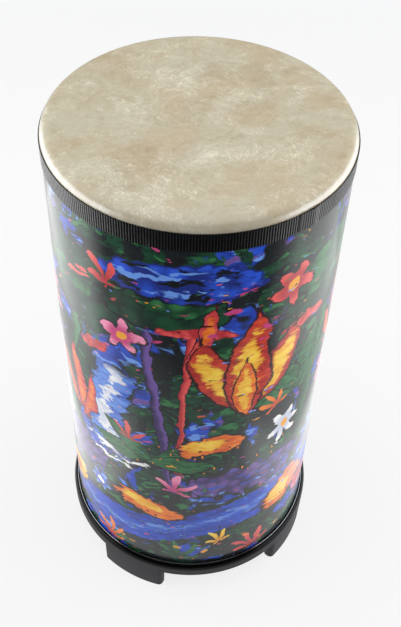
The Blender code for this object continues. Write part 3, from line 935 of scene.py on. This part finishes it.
def garden_ground(art):
    """Night ground with washes of blue, green and violet and their brush strokes."""
    wash = art.finish.noise(art.flat, 0.016, 3.0, 0.55, 0.6)
    wood = art.finish.noise(art.flat, 0.021, 4.0, 0.6, 1.2)
    art.colour = art.shade(*NIGHT)
    art.lay(wash.edge(0.53, 0.56), art.shade(*ROYAL, art.streak))
    art.strokes(wash.edge(0.5, 0.56), 20.0, 0.11, 0.58, SKY[1])
    art.strokes(wash.edge(0.5, 0.56), -12.0, 0.09, 0.58, VIOLET[1])
    art.lay(wood.edge(0.5, 0.53), art.shade(*FOREST))
    art.strokes(wood.edge(0.5, 0.56), 64.0, 0.12, 0.56, FERN[1])
    art.strokes(wood.edge(0.52, 0.58), -38.0, 0.13, 0.6, NIGHT[0])


def garden_water(art, tile):
    """Waterfall with white foam that runs into a winding stream."""
    along, level = art.finish.parts(art.flat)[:2]
    stream = (level - 122.0 - (along * (math.tau / tile)).sin() * 22.0).abs()
    art.lay(stream.edge(24.0, 21.0), art.shade(*ROYAL, art.streak))
    art.lay((stream + art.streak * 14.0).edge(13.0, 9.0), art.shade(*SKY))
    fall = (along + 78.0 + (level * 0.03).sin() * 9.0).abs() + art.brush * 9.0
    drop = level.edge(216.0, 226.0) * level.edge(352.0, 340.0)
    art.lay(fall.edge(32.0, 30.0) * drop, INK)
    art.lay(fall.edge(28.0, 26.0) * drop, art.shade(*SKY, art.streak))
    art.lay((fall + art.streak * 13.0).edge(20.0, 17.0) * drop, art.shade(*WHITE))
    art.strokes(art.spot(-80.0, 216.0, 90.0, 26.0), 4.0, 0.12, 0.5, WHITE[1])


def garden_trees(art):
    """Stems of the trees, the crowns at the back and the brush strokes on the blue one."""
    for trunk in (
        (-128.0, 330.0, 300.0, 15.0, 84.0, FERN),
        (-30.0, 300.0, 250.0, 9.0, 96.0, VIOLET),
        (-8.0, 320.0, 210.0, 6.0, 88.0, CORAL),
        (128.0, 320.0, 320.0, 18.0, 88.0, FERN),
        (186.0, 260.0, 380.0, 13.0, 92.0, ORANGE),
    ):
        art.trunk(*trunk)
    for bush in (
        (-140.0, 452.0, 150.0, 62.0, FOREST, 18.0, INK),
        (-104.0, 404.0, 120.0, 46.0, FOREST, 18.0, INK),
        (-126.0, 432.0, 84.0, 34.0, FERN, 15.0, FOREST[0]),
        (-8.0, 470.0, 150.0, 46.0, ROYAL, 17.0, ROYAL[0]),
    ):
        art.bush(*bush)
    art.strokes(art.spot(-8.0, 472.0, 120.0, 30.0), 14.0, 0.12, 0.54, SKY[1])
    art.strokes(art.spot(-8.0, 470.0, 140.0, 40.0), -18.0, 0.13, 0.56, NIGHT[0])


def garden_bushes(art):
    """Crowns in front, coral tufts between them, low violet bushes and strokes over all."""
    for bush in (
        (-30.0, 436.0, 136.0, 48.0, FOREST, 18.0, INK),
        (-14.0, 444.0, 70.0, 24.0, FERN, 13.0, FOREST[0]),
        (140.0, 446.0, 140.0, 66.0, FERN, 18.0, INK),
        (122.0, 404.0, 110.0, 40.0, FOREST, 16.0, INK),
        (104.0, 398.0, 52.0, 16.0, CORAL, 9.0, RUST[0]),
        (-96.0, 366.0, 40.0, 15.0, CORAL, 8.0, RUST[0]),
        (0.0, 416.0, 74.0, 13.0, CORAL, 9.0, RUST[0]),
        (-140.0, 190.0, 140.0, 60.0, VIOLET, 11.0, INK),
        (60.0, 196.0, 170.0, 58.0, VIOLET, 12.0, INK),
        (150.0, 236.0, 90.0, 44.0, FOREST, 13.0, INK),
    ):
        art.bush(*bush)
    art.strokes(art.spot(60.0, 200.0, 150.0, 50.0), 30.0, 0.16, 0.58, SKY[0])
    art.strokes(art.spot(-126.0, 428.0, 140.0, 60.0), 12.0, 0.1, 0.62, CORAL[1])
    art.strokes(art.spot(30.0, 440.0, 170.0, 60.0), 8.0, 0.09, 0.62, PINK[0])


def garden_leaves(art):
    """Fans of broad leaves and coral reeds."""
    for x, y, size, turns, tones in (
        (112.0, 306.0, 78.0, (168.0, 128.0, 84.0, 40.0), FERN),
        (-40.0, 232.0, 66.0, (176.0, 136.0, 30.0, 2.0), FERN),
        (-176.0, 270.0, 70.0, (120.0, 78.0, 36.0), FOREST),
    ):
        for turn in turns:
            lean = math.radians(turn)
            middle = (x + math.cos(lean) * size * 0.46, y + math.sin(lean) * size * 0.42)
            art.leaf(*middle, size, size * 0.32, turn, tones, 0.25)
    for x, y, size, turn, bend in (
        (-122.0, 288.0, 92.0, 102.0, 0.5),
        (-142.0, 280.0, 70.0, 120.0, 0.6),
        (-104.0, 276.0, 74.0, 78.0, -0.5),
        (8.0, 410.0, 66.0, 70.0, -0.4),
        (172.0, 356.0, 88.0, 100.0, 0.5),
        (156.0, 344.0, 62.0, 122.0, 0.5),
    ):
        art.flame(x, y, size, size * 0.26, turn, bend, CORAL, ORANGE)


def garden_blossoms(art):
    """The great lily, open flowers and spotted fruit."""
    for x, y, size, turn, bend in (
        (22.0, 352.0, 104.0, 118.0, 0.35),
        (74.0, 350.0, 100.0, 62.0, -0.35),
        (48.0, 362.0, 126.0, 90.0, 0.1),
    ):
        art.flame(x, y, size, size * 0.42, turn, bend, RUST, GOLD)
    art.flame(48.0, 338.0, 74.0, 26.0, 91.0, 0.0, ORANGE, GOLD)
    for fruit in (
        (112.0, 138.0, 62.0, 44.0, 28.0, ORANGE, GOLD),
        (152.0, 110.0, 46.0, 36.0, -20.0, PINK, CORAL),
        (-44.0, 150.0, 74.0, 30.0, -16.0, ORANGE, GOLD),
        (-150.0, 118.0, 50.0, 38.0, 40.0, GOLD, ORANGE),
        (20.0, 262.0, 60.0, 30.0, 12.0, ORANGE, GOLD),
    ):
        art.fruit(*fruit)
    for bloom in (
        (96.0, 258.0, 25.0, 6.0, 12.0, WHITE, GOLD[0]),
        (-166.0, 226.0, 25.0, 6.0, 40.0, WHITE, PINK[0]),
        (-62.0, 396.0, 24.0, 5.0, 20.0, PINK, GOLD[0]),
        (-176.0, 372.0, 28.0, 5.0, 50.0, PINK, GOLD[0]),
        (166.0, 290.0, 22.0, 5.0, 8.0, PINK, CORAL[0]),
        (86.0, 448.0, 24.0, 5.0, 62.0, CORAL, GOLD[0]),
        (182.0, 168.0, 18.0, 6.0, 22.0, GOLD, CORAL[0]),
        (-98.0, 150.0, 16.0, 6.0, 52.0, SKY, WHITE[1]),
    ):
        art.bloom(*bloom)


def garden_verge(art):
    """Grass, sprays and strewn petals."""
    for tuft in (
        (-10.0, 62.0, 34.0, 9.0, 0.0, FERN),
        (72.0, 60.0, 32.0, 9.0, 12.0, CORAL),
        (-92.0, 58.0, 32.0, 9.0, -8.0, ORANGE),
        (134.0, 58.0, 28.0, 9.0, 6.0, FERN),
        (-160.0, 60.0, 34.0, 8.0, 0.0, VIOLET),
        (-74.0, 452.0, 30.0, 6.0, 24.0, CORAL),
        (-16.0, 184.0, 34.0, 7.0, -18.0, PINK),
        (36.0, 92.0, 24.0, 7.0, 30.0, GOLD),
        (82.0, 296.0, 26.0, 8.0, 20.0, ORANGE),
        (-60.0, 258.0, 24.0, 8.0, -14.0, CORAL),
        (150.0, 196.0, 26.0, 8.0, 10.0, SKY),
    ):
        art.tuft(*tuft)
    low = art.finish.noise(art.flat, 0.03, 2.0, 0.6).edge(0.5, 0.56)
    high = art.finish.noise(art.flat, 0.037, 2.0, 0.6).edge(0.5, 0.56)
    for flecks in (
        (low, 24.0, 0.16, 0.68, CORAL[1]),
        (low, -50.0, 0.2, 0.69, GOLD[0]),
        (low, 80.0, 0.17, 0.66, FERN[1]),
        (high, -20.0, 0.15, 0.685, PINK[0]),
        (high, 66.0, 0.18, 0.68, SKY[1]),
        (high, 10.0, 0.16, 0.66, INK),
    ):
        art.strokes(*flecks, 2.8)
    art.scatter(0.075, 0.2, art.spot(-20.0, 64.0, 360.0, 50.0), GOLD[0])
    art.scatter(0.07, 0.18, art.spot(40.0, 420.0, 180.0, 60.0), PINK[0], 2.6)
    art.scatter(0.08, 0.18, art.spot(20.0, 236.0, 200.0, 50.0), ORANGE[1], 0.5)
    art.scatter(0.09, 0.2, art.spot(60.0, 176.0, 170.0, 40.0), SKY[1], 1.2)


def garden_print():
    """Glossy printed skin with a painted garden of trees, leaves, blossoms and water."""
    finish = Finish("garden_print", Roughness=0.2, IOR=1.4)
    place = finish.place()
    x, y, z = finish.parts(place)[:3]
    azimuth = x.math("ARCTAN2", -y)
    tile = math.pi * skin_r * 1000
    turned_to = azimuth * (skin_r * 1000) - math.radians(CAMERA_AZIMUTH) * skin_r * 1000
    wrapped = turned_to.math("WRAP", tile / 2, -tile / 2)
    flat = finish.node("ShaderNodeCombineXYZ", {}, wrapped, z * 1000)
    bends = ((26.0, 22.0), (150.0, 3.6), (480.0, 1.2))
    for scale, reach in bends:
        flat = finish.wander(flat, place, scale, 2.0, (reach, reach, 0.0))
    back = -sum(reach for _, reach in bends) / 2
    flat = finish.mapped(flat, Location=(back, back, 0.0))
    brush = finish.noise(finish.stretch(place, (1.0, 1.0, 2.4)), 60.0, 4.0, 0.68, 0.4).edge(0.32, 0.68)
    streak = finish.noise(finish.stretch(place, (1.0, 1.0, 3.2)), 34.0, 4.0, 0.65, 0.8).edge(0.3, 0.7)
    art = Painting(finish, flat, brush, streak)
    garden_ground(art)
    garden_water(art, tile)
    garden_trees(art)
    garden_bushes(art)
    garden_leaves(art)
    garden_blossoms(art)
    garden_verge(art)
    colour = finish.mix(finish.noise(place, 700.0, 2.0) * 0.1, art.colour, srgb(120, 120, 130))
    ripple = finish.noise(finish.stretch(place, (1.0, 1.0, 0.5)), 16.0, 2.0)
    return finish.set(Base_Color=colour, Normal=finish.bump(ripple, 0.0006, 0.2))


# The studio, in metres and watts
FLOOR_SIZE = 14.0
FLOOR_GAP = 0.0002
DOME_RADIUS = 6.9
SIGHT = 50.0
MIDDLE = (0.0, 0.0, 0.25)
COOL_WHITE = (0.9, 0.95, 1.0)
SURROUND = 0.17


def ground():
    """Plain pale floor with a glow of its own, and a dome of the same that only the camera sees."""
    bpy.ops.mesh.primitive_plane_add(size=FLOOR_SIZE, location=(0.0, 0.0, -FLOOR_GAP))
    floor = bpy.context.object
    floor.name = "floor"
    bpy.ops.mesh.primitive_uv_sphere_add(segments=48, ring_count=24, radius=DOME_RADIUS)
    dome = bpy.context.object
    dome.name = "backdrop"
    paper = Finish("floor_paper", Roughness=0.9, Specular_IOR_Level=0.1, Emission_Strength=1.0)
    place = paper.place()
    x, y = paper.parts(place)[:2]
    far = (x * x + y * y).edge(0.3, 1.8)
    speck = paper.noise(place, 3.0, 2.0)
    colour = paper.mix(far, paper.mix(speck, [0.12] * 3, [0.13] * 3), [0.01] * 3)
    paper.set(Base_Color=colour, Emission_Color=paper.mix(far, [0.8] * 3, (0.92, 0.925, 0.935)))
    for sheet in (floor, dome):
        sheet.data.materials.append(paper.material)
        sheet.visible_glossy = False
    dome.visible_diffuse = False
    dome.visible_shadow = False


def softbox(name, stand, width, height, power, shine=False, tint=(1.0, 1.0, 1.0)):
    """Large soft light that faces down its own axis. One with shine shows only in gloss."""
    light = bpy.data.lights.new(name, "AREA")
    light.shape = "RECTANGLE"
    light.size = width
    light.size_y = height
    light.energy = power
    light.color = tint
    lamp = show(name, light)
    lamp.visible_camera = False
    lamp.visible_glossy = shine
    lamp.visible_diffuse = not shine
    lamp.matrix_world = around(CAMERA_AZIMUTH) @ stand


def facing(spot, aim):
    """Stand of a light at a spot, turned to a point."""
    turn = (Vector(aim) - Vector(spot)).to_track_quat("-Z", "Y").to_matrix().to_4x4()
    return Matrix.Translation(spot) @ turn


def studio():
    """Soft panels that light the drum, and rims and cards that show only in its gloss."""
    for side, name in ((-1, "left_panel"), (1, "right_panel")):
        softbox(name, facing((side * 1.6, 0.1, 0.7), MIDDLE), 1.8, 1.2, power=24.0)
    softbox("top_panel", facing((0.0, 0.1, 2.3), MIDDLE), 3.0, 3.0, power=50.0)
    softbox("front_rim", facing((0.0, -0.7, 1.9), MIDDLE), 1.6, 0.3, power=0.7, shine=True)
    for side, name in ((-1, "left_rim"), (1, "right_rim")):
        stand = facing((side * 1.3, 0.2, 0.44), (0.0, 0.2, 0.44))
        softbox(name, stand, 2.3, 0.88, power=16.0, shine=True, tint=COOL_WHITE)
    for name, spot, size, glow in (
        ("left_card", (-0.95, 0.48, 0.002), (1.55, 1.4), 1.2),
        ("right_card", (0.95, 0.48, 0.002), (1.55, 1.4), 1.0),
        ("left_sheen", (-0.6, 0.17, 0.001), (0.4, 0.6), 1.1),
        ("right_sheen", (0.6, 0.0, 0.001), (0.4, 0.64), 0.8),
        ("front_card", (-0.1, -0.32, 0.002), (0.8, 0.16), 0.6),
        ("foot_card", (0.0, 0.0, 0.0005), (0.5, 0.5), 0.9),
    ):
        stand = Matrix.Translation(spot) @ Matrix.Rotation(math.pi, 4, "X")
        softbox(name, stand, *size, glow * math.pi * size[0] * size[1], shine=True)
    world = bpy.data.worlds.new("surround")
    bpy.context.scene.world = world
    world.use_nodes = True
    air = world.node_tree.nodes["Background"].inputs
    air["Color"].default_value = (1.0, 1.0, 1.0, 1.0)
    air["Strength"].default_value = SURROUND
    world.cycles_visibility.glossy = False
    bpy.context.scene.view_settings.view_transform = "Standard"


def photographer():
    """Camera where the photograph was taken from."""
    pitch, yaw, roll = (math.radians(angle) for angle in (CAMERA_PITCH, CAMERA_YAW, CAMERA_ROLL))
    ahead = math.cos(pitch)
    forward = Vector((math.sin(yaw) * ahead, math.cos(yaw) * ahead, -math.sin(pitch)))
    level = Vector((math.cos(yaw), -math.sin(yaw), 0.0))
    above = level.cross(forward)
    right = level * math.cos(roll) + above * math.sin(roll)
    up = -level * math.sin(roll) + above * math.cos(roll)
    stand = Matrix((right, up, -forward)).transposed().to_4x4()
    stand.translation = (0.0, -CAMERA_REACH, CAMERA_HEIGHT)
    data = bpy.data.cameras.new("camera")
    data.sensor_width = SENSOR
    data.lens = FOCAL_PIXELS * SENSOR / max(PHOTO_WIDTH, PHOTO_HEIGHT)
    data.clip_end = SIGHT
    camera = show("camera", data)
    camera.matrix_world = around(CAMERA_AZIMUTH) @ stand
    bpy.context.scene.camera = camera


def boards():
    """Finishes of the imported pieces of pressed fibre, which stay as they are."""
    for node, name, light, dark in (
        ("shell_tube", "shell_board", (140, 112, 84), (92, 70, 50)),
        ("head_hoop", "hoop_board", (160, 132, 98), (112, 88, 62)),
        ("bottom_plate", "pressed_board", (156, 124, 88), (104, 78, 54)),
    ):
        wear(frame["nodes"][node], fibreboard(name, srgb(*light), srgb(*dark)))


photographer()
studio()
ground()
head_skin()
binding_tape()
printed_skin()
foot_moulding()
resonator()
screws()
boards()
